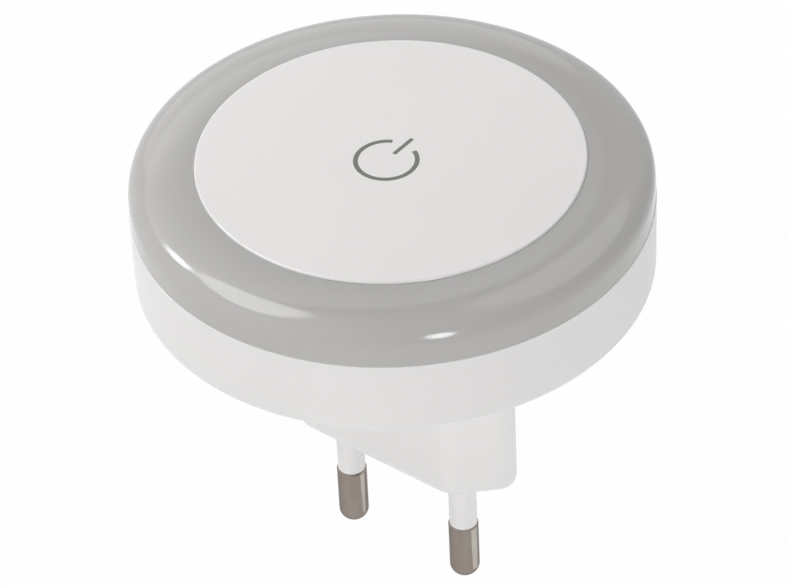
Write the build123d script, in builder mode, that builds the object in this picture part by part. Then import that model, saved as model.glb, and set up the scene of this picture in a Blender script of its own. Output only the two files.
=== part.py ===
from build123d import *
import math
import os

os.makedirs("parts", exist_ok=True)

# Round plug-in LED night light with a push cap, in millimetres.
# Origin at the centre of the plug face, between the two pins, which point down.
# X runs along the line of the pins, +Z towards the front cap, +Y is the top of the switch sign.

# Plug, to the European two-pin 2.5 A pattern
pin_spacing = 18.8
pin_r = 2.0
pin_reach = 19.0
pin_tip_fillet = 1.75
pin_shoulder = 0.25
core_r = 1.45
sleeve_r = 1.84
sleeve_reach = 10.0
flange_r = 2.7
flange_t = 1.4
tab_width = 2.4
tab_t = 1.2
tab_rise = 8.0
boss_half_length = 17.9
boss_half_width = 6.65
boss_corner = 5.65
boss_side_r = 4.4
boss_end_r = 2.2
boss_edge_r = 1.8
boss_wall = 1.8
boss_depth = 30.3
face_t = 4.0

# Head: cup, diffuser ring and front cap
cup_draft = 0.05
cup_wall = 1.8
cup_height = 10.2
cup_edge_r = 0.6
cup_root_r = 0.6
floor_t = 2.0
ring_r = 33.1
ring_step = 0.1
ring_side = 2.55
ring_height = 5.95
ring_wall = 1.7
ring_corner_share = 0.88
ring_top_lean = 3.0
ring_shoulder_lean = 28.0
ring_foot_t = 1.1
bore_wall = 1.3
bore_depth = 4.4
spigot_wall = 1.3
spigot_depth = 2.7
snap_reach = 0.5
snap_height = 1.0
snap_arc = 24.0
snap_count = 4
cap_r = 24.65
cap_t = 1.6
cap_edge_r = 0.25
cap_proud = 0.3
cap_travel = 0.5
cap_skirt_t = 1.2
arm_count = 3
arm_arc = 22.0
arm_slot = 0.9
hook_reach = 0.6
hook_height = 1.1
hub_r = 2.4
rib_t = 0.8
rib_height = 1.2
rib_count = 6

# Boards and what they carry
led_board_t = 1.2
led_board_rise = 3.5
post_r = 3.0
post_count = 3
foot_count = 6
foot_t = 1.2
foot_length = 5.0
led_count = 10
led_margin = 0.3
led_length = 3.5
led_width = 2.8
led_height = 0.7
led_lens_r = 1.1
led_lens_depth = 0.25
reflector_t = 0.8
reflector_lip = 3.0
reflector_wall = 1.0
reflector_margin = 0.5
switch_side = 6.0
switch_height = 3.4
switch_cover_t = 0.3
switch_leg_t = 0.2
switch_leg_width = 0.9
switch_leg_reach = 1.0
switch_leg_pitch = 4.5
plunger_r = 1.75
plunger_proud = 1.3
plunger_flange = 0.45
plunger_flange_t = 0.6
chip_length = 4.9
chip_width = 3.9
chip_height = 1.5
chip_pitch = 1.27
chip_legs = 4
chip_offset = 10.5
resistor_length = 2.0
resistor_width = 1.25
resistor_height = 0.5
resistor_margin = 2.0
post_margin = 0.6

# Power board in the plug boss
clamp_t = 2.0
power_board_t = 1.0
power_board_margin = 0.4
power_board_height = 24.5
rail_wall = 0.9
rail_hold = 0.9
rail_short = 2.0
film_length = 12.6
film_height = 10.5
film_depth = 4.6
film_edge_r = 0.4
film_margin = 0.3
parts_rise = 8.5
parts_gap = 1.1
smoothing_r = 2.4
smoothing_length = 10.5
smoothing_groove = 0.25
smoothing_score = 3.4
fuse_r = 1.2
fuse_length = 6.5
fuse_end = 1.4
fuse_waist = 0.2
lead_r = 0.3
lead_rise = 1.6
bridge_length = 4.7
bridge_width = 3.9
bridge_height = 1.6
bridge_legs = 2
bridge_pitch = 2.54
wire_r = 0.6
wire_gap = 6.0
wire_out_y = 4.9
wire_hold = 3.0
wire_bend = 1.5
bridge_rise = 15.0

# Screws: self-tapping, pan head
screw_r = 1.0
screw_head_r = 1.9
screw_head_t = 1.2
board_screw_length = 4.4
clamp_screw_length = 4.6
driver_width = 0.5
driver_depth = 0.6
driver_length = 2.3
screw_chamfer = 0.4

# Clearances
cap_gap = 0.08
fit_gap = 0.1
sleeve_gap = 0.03
seat_gap = 0.05
board_gap = 0.4
rest_gap = 0.02

# Heights that follow from the sizes above
under_z = boss_depth
floor_z = under_z + floor_t
seam_z = under_z + cup_height
ring_top_z = seam_z + ring_height
cap_z = ring_top_z + cap_proud
lip_z = ring_top_z - bore_depth
board_z = floor_z + led_board_rise
board_top_z = board_z + led_board_t
reflector_z = board_top_z + reflector_t
switch_top_z = board_top_z + switch_height
plunger_top_z = switch_top_z + plunger_proud
clamp_z = face_t + clamp_t
power_top_z = clamp_z + power_board_height

# Radii that follow
ring_corner_r = ring_corner_share * (ring_height - ring_side)
cup_r = ring_r + ring_step
cup_in_r = cup_r - cup_wall
bore_r = cap_r + cap_gap
inner_wall_r = bore_r + bore_wall
spigot_r = cup_in_r - fit_gap
spigot_in_r = spigot_r - spigot_wall
led_board_r = cup_in_r - board_gap
led_circle_r = spigot_in_r - led_margin - led_width / 2
window_in_r = led_circle_r - led_width / 2 - fit_gap
reflector_in_r = window_in_r - reflector_margin - reflector_wall - reflector_t / 2
resistor_circle_r = reflector_in_r - resistor_margin - resistor_length / 2
post_circle_r = resistor_circle_r - resistor_width / 2 - post_margin - screw_head_r

# The flats of the boss, and x + y on the inner side of its corner flats
boss_half_flat = boss_half_length - boss_corner
boss_end = boss_half_width - boss_corner
boss_in_sum = boss_half_length + boss_end - boss_wall * math.sqrt(2)

# The pins' tabs lie on the front of the power board, and its parts stand in a row across it
power_front_y = -tab_t / 2 - rest_gap
power_back_y = power_front_y - power_board_t
power_board_half = boss_in_sum + power_back_y - power_board_margin
film_x = film_length / 2 + film_margin + power_front_y + film_depth - boss_in_sum
smoothing_x = film_x + film_length / 2 + parts_gap + smoothing_r
fuse_x = smoothing_x + smoothing_r + 2 * parts_gap + fuse_r


def finish(piece, label):
    """Names a finished piece and writes its file."""
    piece.part.label = label
    export_step(piece.part, "parts/" + label + ".step")


def boss_outline(inset):
    """Flattened octagon of the plug boss, with rounded corners, drawn in by inset."""
    corner = [(boss_half_length, boss_end), (boss_half_flat, boss_half_width)]
    right = [(x, -y) for x, y in corner[::-1]] + corner
    left = [(-x, -y) for x, y in right]
    with BuildSketch() as outline:
        with BuildLine():
            Polyline(*right, *left, close=True)
        make_face()
        tips = outline.vertices().filter_by(lambda v: abs(v.X) > boss_half_length - boss_end / 2)
        fillet(tips, min(boss_end_r, 0.95 * boss_end / math.tan(math.radians(22.5))))
        shoulders = outline.vertices().filter_by(lambda v: abs(v.Y) > boss_half_width - boss_end / 10)
        fillet(shoulders.filter_by(lambda v: abs(abs(v.X) - boss_half_flat) < boss_end / 10), boss_side_r)
        if inset:
            offset(amount=-inset, kind=Kind.INTERSECTION, mode=Mode.REPLACE)
    return outline.sketch


def ring_crown(inset):
    """Points where the crown's three tangent arcs meet and end, from the bore outward, drawn in by inset."""
    lean = math.radians(ring_top_lean)
    bend = math.radians(ring_shoulder_lean)
    across = ring_r - bore_r - ring_corner_r * (1 - math.sin(bend))
    drop = ring_height - ring_side - ring_corner_r * math.cos(bend)
    shoulder_across = math.sin(bend) - math.sin(lean)
    shoulder_drop = math.cos(lean) - math.cos(bend)
    top_share = math.sin(lean) * shoulder_drop - (1 - math.cos(lean)) * shoulder_across
    top_r = (across * shoulder_drop - drop * shoulder_across) / top_share
    in_top_r = top_r - inset
    in_corner_r = ring_corner_r - inset
    side_z = seam_z + ring_side
    return (
        (bore_r, ring_top_z - inset),
        (bore_r + in_top_r * math.sin(lean), ring_top_z - top_r + in_top_r * math.cos(lean)),
        (ring_r - ring_corner_r + in_corner_r * math.sin(bend), side_z + in_corner_r * math.cos(bend)),
        (ring_r - inset, side_z),
    )


def screw(length):
    """Pan-head screw standing on the XY plane, its shank pointing down."""
    with BuildPart() as made:
        Cylinder(screw_r, length, align=(Align.CENTER, Align.CENTER, Align.MAX))
        chamfer(made.edges().sort_by(Axis.Z)[0], screw_chamfer)
        Cylinder(screw_head_r, screw_head_t, align=(Align.CENTER, Align.CENTER, Align.MIN))
        chamfer(made.edges().sort_by(Axis.Z)[-1], screw_chamfer)
        with BuildSketch(Plane.XY.offset(screw_head_t)):
            Rectangle(driver_length, driver_width)
            Rectangle(driver_width, driver_length)
        extrude(amount=-driver_depth, mode=Mode.SUBTRACT)
    return made.part


def surface_package(length, width, height, legs, pitch):
    """Moulded chip standing on the XY plane, with gull-wing legs along both long sides."""
    reach = 0.28 * width
    thick = 0.12 * height
    high = 0.45 * height
    root = width / 2 - thick
    knee = width / 2 + reach / 2
    with BuildPart() as leg:
        with BuildSketch(Plane.YZ.offset(-1.5 * thick)):
            with BuildLine():
                Polyline(
                    (root, high + thick),
                    (knee, high + thick),
                    (knee + thick / 2, thick),
                    (width / 2 + reach, thick),
                    (width / 2 + reach, 0),
                    (knee - thick / 2, 0),
                    (knee - thick, high),
                    (root, high),
                    close=True,
                )
            make_face()
        extrude(amount=3 * thick)
    with BuildPart() as package:
        with BuildSketch(Plane.XY.offset(0.1 * height)):
            Rectangle(length, width)
        extrude(amount=0.9 * height, taper=4)
        for side in (0, 180):
            for step in range(legs):
                shift = (step - (legs - 1) / 2) * pitch
                add(leg.part.rotate(Axis.Z, side).translate((shift, 0, 0)))
    return package.part


def post_places():
    """Centres of the posts that carry the LED board."""
    return PolarLocations(post_circle_r, post_count, start_angle=90)


# Base housing: the cup and the plug boss are one moulding
with BuildPart() as base_housing:
    with BuildSketch(Plane.XZ):
        with BuildLine():
            Polyline(
                (0, under_z),
                (cup_r - cup_draft, under_z),
                (cup_r, seam_z),
                (cup_in_r, seam_z),
                (cup_in_r, floor_z),
                (0, floor_z),
                close=True,
            )
        make_face()
        low = vertices().filter_by(lambda v: v.Y < floor_z + floor_t / 4)
        fillet(low.filter_by(lambda v: v.X > cup_in_r + cup_wall / 4), cup_edge_r)
        fillet(low.filter_by(lambda v: abs(v.X - cup_in_r) < cup_wall / 4), cup_root_r)
    revolve(axis=Axis.Z)
    # Plug boss, with its lower edge rounded
    with BuildSketch():
        add(boss_outline(0))
    extrude(amount=under_z + floor_t / 2)
    fillet(base_housing.edges().group_by(Axis.Z)[0], boss_edge_r)
    with BuildSketch(Plane.XY.offset(face_t)):
        add(boss_outline(boss_wall))
    extrude(until=Until.LAST, mode=Mode.SUBTRACT)
    # Groove inside the rim for the diffuser's snaps
    groove_low = seam_z - spigot_depth + fit_gap
    with BuildSketch(Plane.XZ):
        with BuildLine():
            Polyline(
                (cup_in_r - fit_gap, groove_low),
                (cup_in_r + snap_reach, groove_low + snap_reach),
                (cup_in_r + snap_reach, groove_low + snap_height + fit_gap),
                (cup_in_r - fit_gap, groove_low + snap_height + snap_reach + 2 * fit_gap),
                close=True,
            )
        make_face()
    revolve(axis=Axis.Z, mode=Mode.SUBTRACT)
    # Posts and feet that carry the LED board
    with BuildSketch(Plane.XY.offset(floor_z - floor_t / 2)):
        with post_places():
            Circle(post_r)
    extrude(amount=led_board_rise + floor_t / 2)
    foot_middle_r = cup_in_r - foot_length / 2 + cup_wall / 4
    with BuildSketch(Plane.XY.offset(floor_z - floor_t / 2)):
        with PolarLocations(foot_middle_r, foot_count, start_angle=180 / foot_count):
            Rectangle(foot_length + cup_wall / 2, foot_t)
    extrude(amount=led_board_rise + floor_t / 2)
    with BuildSketch(Plane.XY.offset(board_z)):
        with post_places():
            Circle(screw_r + seat_gap)
    extrude(amount=-(board_screw_length - led_board_t + seat_gap), mode=Mode.SUBTRACT)
    # Rails at the two ends of the boss that hold the power board upright
    rail_out = boss_half_length - boss_wall + rail_hold / 4
    rail_in = power_board_half - rail_hold
    rail_mid_y = (power_front_y + power_back_y) / 2
    rail_width = power_board_t + 2 * (fit_gap + rail_wall)
    with BuildSketch(Plane.XY.offset(clamp_z + rest_gap)):
        for side in (-1, 1):
            with Locations((side * (rail_in + rail_out) / 2, rail_mid_y)):
                Rectangle(rail_out - rail_in, rail_width)
        for side in (-1, 1):
            with Locations((side * rail_in, rail_mid_y)):
                Rectangle(2 * (rail_hold + fit_gap), power_board_t + 2 * fit_gap, mode=Mode.SUBTRACT)
        add(boss_outline(boss_wall / 2), mode=Mode.INTERSECT)
    extrude(amount=power_board_height - rail_short)
    # Seats of the two pins in the plug face, and the pilot hole of the clamp screw
    with Locations((-pin_spacing / 2, 0), (pin_spacing / 2, 0)):
        with Locations((0, 0, face_t)):
            CounterBoreHole(sleeve_r + sleeve_gap, flange_r + seat_gap, flange_t + rest_gap)
    with BuildSketch(Plane.XY.offset(face_t)):
        Circle(screw_r + seat_gap)
    extrude(amount=-(clamp_screw_length - clamp_t + seat_gap), mode=Mode.SUBTRACT)
finish(base_housing, "base_housing")

# Diffuser ring: opal crown, inner wall that guides the cap, spigot with snaps in the cup
with BuildPart() as diffuser_ring:
    crown_top, crown_shoulder, crown_corner, crown_side = ring_crown(0)
    under_top, under_shoulder, under_corner, under_side = ring_crown(ring_wall)
    crown_lean = math.radians(ring_top_lean)
    with BuildSketch(Plane.XZ):
        with BuildLine():
            TangentArc(crown_top, crown_shoulder, tangent=(1, 0))
            TangentArc(crown_shoulder, crown_corner, tangent=(math.cos(crown_lean), -math.sin(crown_lean)))
            TangentArc(crown_side, crown_corner, tangent=(0, 1))
            Polyline(
                crown_side,
                (ring_r, seam_z),
                (spigot_r, seam_z),
                (spigot_r, seam_z - spigot_depth),
                (spigot_in_r, seam_z - spigot_depth),
                (spigot_in_r, seam_z + ring_foot_t),
                (under_side[0], seam_z + ring_foot_t),
                under_side,
                under_corner,
                under_shoulder,
                (inner_wall_r, under_top[1]),
                (inner_wall_r, lip_z),
                (bore_r, lip_z),
                crown_top,
            )
        make_face()
    revolve(axis=Axis.Z)
    snap_low = seam_z - spigot_depth + 2 * fit_gap
    with BuildSketch(Plane.XZ.rotated((0, 0, -snap_arc / 2)), mode=Mode.PRIVATE) as snap_profile:
        with BuildLine():
            Polyline(
                (spigot_r - spigot_wall / 2, snap_low),
                (spigot_r, snap_low),
                (spigot_r + snap_reach, snap_low + snap_reach),
                (spigot_r + snap_reach, snap_low + snap_height),
                (spigot_r, snap_low + snap_height + snap_reach),
                (spigot_r - spigot_wall / 2, snap_low + snap_height + snap_reach),
                close=True,
            )
        make_face()
    for turn in range(snap_count):
        revolve(
            snap_profile.sketch.rotate(Axis.Z, (turn + 0.5) * 360 / snap_count),
            axis=Axis.Z,
            revolution_arc=snap_arc,
        )
finish(diffuser_ring, "diffuser_ring")

# Front cap: disc on a skirt, three spring arms with hooks under the ring's inner wall, and a hub
with BuildPart() as front_cap:
    under_cap_z = cap_z - cap_t
    skirt_low = lip_z + hook_height / 2
    arm_low = lip_z - rest_gap - hook_height
    with BuildSketch(Plane.XY.offset(under_cap_z)):
        Circle(cap_r)
    extrude(amount=cap_t)
    fillet(front_cap.edges().group_by(Axis.Z)[-1], cap_edge_r)
    with BuildSketch(Plane.XY.offset(under_cap_z)):
        Circle(cap_r)
        Circle(cap_r - cap_skirt_t, mode=Mode.SUBTRACT)
    extrude(amount=skirt_low - under_cap_z)
    arm_profile = [
        (cap_r - cap_skirt_t, skirt_low + arm_slot),
        (cap_r - cap_skirt_t, arm_low),
        (cap_r, arm_low),
        (cap_r + cap_gap + hook_reach, lip_z - rest_gap - hook_height / 3),
        (cap_r + cap_gap + hook_reach, lip_z - rest_gap),
        (cap_r, lip_z - rest_gap),
        (cap_r, skirt_low + arm_slot),
    ]
    slot_arc = math.degrees(arm_slot / cap_r)
    with BuildSketch(Plane.XZ.rotated((0, 0, -arm_arc / 2 - slot_arc)), mode=Mode.PRIVATE) as slot_profile:
        with Locations((cap_r - cap_skirt_t / 2, skirt_low + arm_slot)):
            Rectangle(2 * cap_skirt_t, 4 * arm_slot)
    with BuildSketch(Plane.XZ.rotated((0, 0, -arm_arc / 2)), mode=Mode.PRIVATE) as arm_section:
        with BuildLine():
            Polyline(*arm_profile, close=True)
        make_face()
    for turn in range(arm_count):
        heading = 90 + turn * 360 / arm_count
        for side in (0, arm_arc + slot_arc):
            revolve(
                slot_profile.sketch.rotate(Axis.Z, heading + side),
                axis=Axis.Z,
                revolution_arc=slot_arc,
                mode=Mode.SUBTRACT,
            )
        revolve(arm_section.sketch.rotate(Axis.Z, heading), axis=Axis.Z, revolution_arc=arm_arc)
    # Hub over the switch plunger, and ribs out to the skirt
    with BuildSketch(Plane.XY.offset(under_cap_z)):
        Circle(hub_r)
    extrude(amount=plunger_top_z + seat_gap - under_cap_z)
    with BuildSketch(Plane.XY.offset(under_cap_z)):
        with PolarLocations((cap_r - cap_skirt_t) / 2, rib_count, start_angle=180 / rib_count):
            Rectangle(cap_r - cap_skirt_t, rib_t)
    extrude(amount=-rib_height)
finish(front_cap, "front_cap")

# Reflector: white tray on the LED board with a window for each LED and an inner light wall
with BuildPart() as reflector:
    reflector_r = spigot_r - fit_gap
    with BuildSketch(Plane.XZ):
        with BuildLine():
            Polyline(
                (reflector_in_r, board_top_z),
                (reflector_r, board_top_z),
                (reflector_r, reflector_z),
                (reflector_in_r + reflector_wall + reflector_t / 2, reflector_z),
                (reflector_in_r + reflector_wall, reflector_z + reflector_t / 2),
                (reflector_in_r + reflector_wall, board_top_z + reflector_lip),
                (reflector_in_r, board_top_z + reflector_lip),
                close=True,
            )
        make_face()
    revolve(axis=Axis.Z)
    with BuildSketch(Plane.XY.offset(board_top_z)):
        with PolarLocations(led_circle_r, led_count):
            Rectangle(led_width + 4 * fit_gap, led_length + 4 * fit_gap)
    extrude(amount=reflector_t, mode=Mode.SUBTRACT)
finish(reflector, "reflector")

# LED board, with holes for its screws and the two link wires
with BuildPart() as led_board:
    with BuildSketch(Plane.XY.offset(board_z)):
        Circle(led_board_r)
        with post_places():
            Circle(screw_r + fit_gap, mode=Mode.SUBTRACT)
        with Locations((-wire_gap / 2, wire_out_y), (wire_gap / 2, wire_out_y)):
            Circle(wire_r + fit_gap, mode=Mode.SUBTRACT)
    extrude(amount=led_board_t)
finish(led_board, "led_board")

# LEDs: ten packages under the diffuser, each with a shallow lens recess
with BuildPart() as leds:
    with BuildSketch(Plane.XY.offset(board_top_z)):
        with PolarLocations(led_circle_r, led_count):
            Rectangle(led_width, led_length)
    extrude(amount=led_height)
    with BuildSketch(Plane.XY.offset(board_top_z + led_height)):
        with PolarLocations(led_circle_r, led_count):
            Circle(led_lens_r)
    extrude(amount=-led_lens_depth, mode=Mode.SUBTRACT)
finish(leds, "leds")

# Three screws through the LED board into the posts
with BuildPart() as board_screws:
    with post_places():
        with Locations((0, 0, board_top_z)):
            add(screw(board_screw_length))
finish(board_screws, "board_screws")

# Tact switch: base with four legs, steel cover plate, and the plunger that the cap presses
with BuildPart() as switch_base:
    base_top_z = switch_top_z - switch_cover_t
    flange_top_z = base_top_z - seat_gap
    with BuildSketch(Plane.XY.offset(board_top_z)):
        RectangleRounded(switch_side, switch_side, switch_side / 20)
    extrude(amount=base_top_z - board_top_z)
    with BuildSketch(Plane.XY.offset(base_top_z)):
        Circle(plunger_r + plunger_flange + fit_gap)
    extrude(amount=-(plunger_flange_t + cap_travel + fit_gap), mode=Mode.SUBTRACT)
    with BuildSketch(Plane.XY.offset(board_top_z)):
        with GridLocations(switch_side + switch_leg_reach, switch_leg_pitch, 2, 2):
            Rectangle(switch_leg_reach + seat_gap, switch_leg_width)
    extrude(amount=switch_leg_t)
finish(switch_base, "switch_base")

with BuildPart() as switch_cover:
    with BuildSketch(Plane.XY.offset(base_top_z)):
        RectangleRounded(switch_side, switch_side, switch_side / 20)
        Circle(plunger_r + fit_gap, mode=Mode.SUBTRACT)
    extrude(amount=switch_cover_t)
finish(switch_cover, "switch_cover")

with BuildPart() as switch_plunger:
    with BuildSketch(Plane.XY.offset(flange_top_z)):
        Circle(plunger_r + plunger_flange)
    extrude(amount=-plunger_flange_t)
    with BuildSketch(Plane.XY.offset(flange_top_z)):
        Circle(plunger_r)
    extrude(amount=plunger_top_z - flange_top_z)
    chamfer(switch_plunger.edges().group_by(Axis.Z)[-1], 0.1 * plunger_r)
finish(switch_plunger, "switch_plunger")

# Control chip on the LED board
with BuildPart() as control_chip:
    chip = surface_package(chip_length, chip_width, chip_height, chip_legs, chip_pitch)
    add(chip.moved(Location((0, -chip_offset, board_top_z))))
finish(control_chip, "control_chip")

# Chip resistors, one between each pair of LEDs, each with its two end caps
with BuildPart() as chip_resistors:
    with BuildSketch(Plane.XY.offset(board_top_z)):
        with PolarLocations(resistor_circle_r, led_count, start_angle=180 / led_count):
            Rectangle(resistor_width, resistor_length)
    extrude(amount=resistor_height)
    chamfer(chip_resistors.edges().group_by(Axis.Z)[-1], 0.15 * resistor_height)
finish(chip_resistors, "chip_resistors")

# Clamp plate over the pins' flanges, and the screw that holds it
with BuildPart() as pin_clamp:
    with BuildSketch(Plane.XY.offset(face_t)):
        add(boss_outline(boss_wall + fit_gap))
        with Locations((-pin_spacing / 2, 0), (pin_spacing / 2, 0)):
            Rectangle(tab_width + 2 * fit_gap, tab_t + 2 * fit_gap, mode=Mode.SUBTRACT)
        Circle(screw_r + fit_gap, mode=Mode.SUBTRACT)
    extrude(amount=clamp_t)
finish(pin_clamp, "pin_clamp")

with BuildPart() as clamp_screw:
    with Locations((0, 0, clamp_z)):
        add(screw(clamp_screw_length))
finish(clamp_screw, "clamp_screw")

# Power board, standing on the clamp between the rails, notched over the clamp screw
with BuildPart() as power_board:
    with BuildSketch(Plane.XZ.offset(-power_front_y)):
        with Locations((0, (clamp_z + power_top_z) / 2)):
            Rectangle(2 * power_board_half, power_board_height)
        with Locations((0, clamp_z)):
            notch = 2 * (screw_head_r + board_gap)
            Rectangle(notch, 2 * (screw_head_t + board_gap), mode=Mode.SUBTRACT)
    extrude(amount=power_board_t)
finish(power_board, "power_board")

# Film capacitor: moulded box on the front of the power board
with BuildPart() as film_capacitor:
    with BuildSketch(Plane.XZ.offset(-power_front_y)):
        with Locations((film_x, clamp_z + parts_rise + film_height / 2)):
            Rectangle(film_length, film_height)
    extrude(amount=-film_depth)
    fillet(film_capacitor.edges().filter_by(Axis.Y), film_edge_r)
    fillet(film_capacitor.faces().sort_by(Axis.Y)[-1].edges(), film_edge_r)
finish(film_capacitor, "film_capacitor")

# Smoothing capacitor: can with a rolled groove and a scored top, lying against the board
with BuildPart() as smoothing_capacitor:
    can_foot = (smoothing_x, power_front_y + smoothing_r + rest_gap, clamp_z + parts_rise)
    roll_z = 3 * smoothing_groove + smoothing_length / 20
    with BuildSketch(Plane(can_foot, x_dir=(1, 0, 0), z_dir=(0, -1, 0))):
        with BuildLine():
            Polyline(
                (0, 0),
                (smoothing_r - smoothing_groove, 0),
                (smoothing_r, smoothing_groove),
                (smoothing_r, roll_z - smoothing_groove),
                (smoothing_r - smoothing_groove, roll_z),
                (smoothing_r, roll_z + smoothing_groove),
                (smoothing_r, smoothing_length - smoothing_groove),
                (smoothing_r - smoothing_groove, smoothing_length),
                (0, smoothing_length),
                close=True,
            )
        make_face()
    revolve(axis=Axis(can_foot, (0, 0, 1)))
    with BuildSketch(Plane(can_foot).offset(smoothing_length)):
        Rectangle(smoothing_score, smoothing_groove)
        Rectangle(smoothing_groove, smoothing_score)
    extrude(amount=-smoothing_groove / 2, mode=Mode.SUBTRACT)
finish(smoothing_capacitor, "smoothing_capacitor")

# Fuse resistor: waisted body on leads that turn into the board
with BuildPart() as fuse_resistor:
    fuse_y = power_front_y + lead_rise
    fuse_low = clamp_z + parts_rise + 2 * lead_rise
    fuse_high = fuse_low + fuse_length
    lead_low = fuse_low - lead_rise
    lead_high = fuse_high + lead_rise
    fuse_plane = Plane((fuse_x, fuse_y, fuse_low), x_dir=(1, 0, 0), z_dir=(0, -1, 0))
    waist_r = fuse_r - fuse_waist
    waist_low = fuse_end + fuse_waist
    with BuildSketch(fuse_plane):
        with BuildLine():
            Polyline(
                (0, 0),
                (fuse_r - lead_r, 0),
                (fuse_r, lead_r),
                (fuse_r, fuse_end),
                (waist_r, waist_low),
                (waist_r, fuse_length - waist_low),
                (fuse_r, fuse_length - fuse_end),
                (fuse_r, fuse_length - lead_r),
                (fuse_r - lead_r, fuse_length),
                (0, fuse_length),
                close=True,
            )
        make_face()
    revolve(axis=Axis((fuse_x, fuse_y, 0), (0, 0, 1)))
    for turn_z, body_z in ((lead_low, fuse_low), (lead_high, fuse_high)):
        with BuildLine() as lead:
            FilletPolyline(
                (fuse_x, power_front_y, turn_z),
                (fuse_x, fuse_y, turn_z),
                (fuse_x, fuse_y, body_z),
                radius=2 * lead_r,
            )
        with BuildSketch(Plane.XZ.offset(-power_front_y)):
            with Locations((fuse_x, turn_z)):
                Circle(lead_r)
        sweep(path=lead.line)
finish(fuse_resistor, "fuse_resistor")

# Bridge rectifier on the back of the power board
with BuildPart() as bridge_rectifier:
    bridge_plane = Plane((0, power_back_y, clamp_z + bridge_rise), x_dir=(1, 0, 0), z_dir=(0, -1, 0))
    bridge = surface_package(bridge_length, bridge_width, bridge_height, bridge_legs, bridge_pitch)
    add(bridge.moved(bridge_plane.location))
finish(bridge_rectifier, "bridge_rectifier")

# Contact pins: rounded tip, thin core under the sleeve, flange in the housing, tab on the board
for side, name in ((-1, "left"), (1, "right")):
    pin_x = side * pin_spacing / 2
    pin_axis = Axis((pin_x, 0, 0), (0, 0, 1))
    pin_plane = Plane((pin_x, 0, 0), x_dir=(1, 0, 0), z_dir=(0, -1, 0))
    with BuildPart() as pin:
        with BuildSketch(pin_plane):
            with BuildLine():
                Polyline(
                    (0, -pin_reach),
                    (pin_r, -pin_reach),
                    (pin_r, -sleeve_reach - pin_shoulder),
                    (pin_r - pin_shoulder, -sleeve_reach),
                    (core_r, -sleeve_reach),
                    (core_r, face_t - flange_t),
                    (flange_r, face_t - flange_t),
                    (flange_r, face_t),
                    (0, face_t),
                    close=True,
                )
            make_face()
        revolve(axis=pin_axis)
        fillet(pin.edges().group_by(Axis.Z)[0], pin_tip_fillet)
        with BuildSketch(Plane.XY.offset(face_t)):
            with Locations((pin_x, 0)):
                Rectangle(tab_width, tab_t)
        extrude(amount=tab_rise)
        fillet(pin.edges().filter_by(Axis.Y).sort_by(Axis.Z)[-2:], tab_width / 4)
    finish(pin, "pin_" + name)

    with BuildPart() as sleeve:
        with BuildSketch(Plane.XY.offset(-sleeve_reach)):
            with Locations((pin_x, 0)):
                Circle(sleeve_r)
                Circle(core_r + sleeve_gap, mode=Mode.SUBTRACT)
        extrude(amount=sleeve_reach + face_t - flange_t - rest_gap)
    finish(sleeve, "sleeve_" + name)

# Two insulated wires from the power board up through the LED board
for side, name in ((-1, "red"), (1, "black")):
    wire_x = side * wire_gap / 2
    wire_y = power_front_y + wire_r + rest_gap
    with BuildPart() as link_wire:
        with BuildLine() as route:
            FilletPolyline(
                (wire_x, wire_y, power_top_z - wire_hold),
                (wire_x, wire_y, power_top_z + wire_r),
                (wire_x, wire_out_y, board_z - wire_bend - wire_r / 2),
                (wire_x, wire_out_y, board_top_z + wire_r / 2),
                radius=wire_bend,
            )
        with BuildSketch(Plane.XY.offset(power_top_z - wire_hold)):
            with Locations((wire_x, wire_y)):
                Circle(wire_r)
        sweep(path=route.line)
    finish(link_wire, "link_wire_" + name)
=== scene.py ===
import math

import bmesh
import bpy
from mathutils import Matrix, Quaternion, Vector
from mathutils.geometry import interpolate_bezier


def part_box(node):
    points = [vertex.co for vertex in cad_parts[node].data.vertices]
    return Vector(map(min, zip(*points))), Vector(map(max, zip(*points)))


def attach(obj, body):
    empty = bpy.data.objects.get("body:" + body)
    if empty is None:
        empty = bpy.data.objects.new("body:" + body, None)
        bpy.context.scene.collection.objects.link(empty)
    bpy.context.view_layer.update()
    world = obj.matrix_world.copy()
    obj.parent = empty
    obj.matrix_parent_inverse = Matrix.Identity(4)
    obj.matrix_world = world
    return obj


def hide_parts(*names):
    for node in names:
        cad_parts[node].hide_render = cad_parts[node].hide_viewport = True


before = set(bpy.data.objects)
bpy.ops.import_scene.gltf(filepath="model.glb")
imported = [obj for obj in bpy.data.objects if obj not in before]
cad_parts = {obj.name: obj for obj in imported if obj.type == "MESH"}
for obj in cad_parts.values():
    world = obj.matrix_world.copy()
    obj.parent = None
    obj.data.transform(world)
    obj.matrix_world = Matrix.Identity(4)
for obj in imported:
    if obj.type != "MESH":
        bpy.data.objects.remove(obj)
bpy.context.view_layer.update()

# Round plug-in LED night light. Lengths are in millimetres and angles in degrees, and become metres
# and radians where they are used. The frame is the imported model's: the pins stand apart along X and
# point down, the front cap is on top, and the sign's bar points to +Y.
MM = 0.001

# Camera of the photograph, found from its outlines
IMAGE_WIDTH = 786
SENSOR = 36.0
FOCAL_PIXELS = 4418.3
CAMERA_DISTANCE = 581.8
CAMERA_TILT = 39.63
CAMERA_ROLL = -2.87
CAMERA_TURN = 39.74
TARGET_RIGHT = 1.49
TARGET_UP = -18.86
CLIP_NEAR = 10.0
CLIP_FAR = 20000.0

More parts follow.
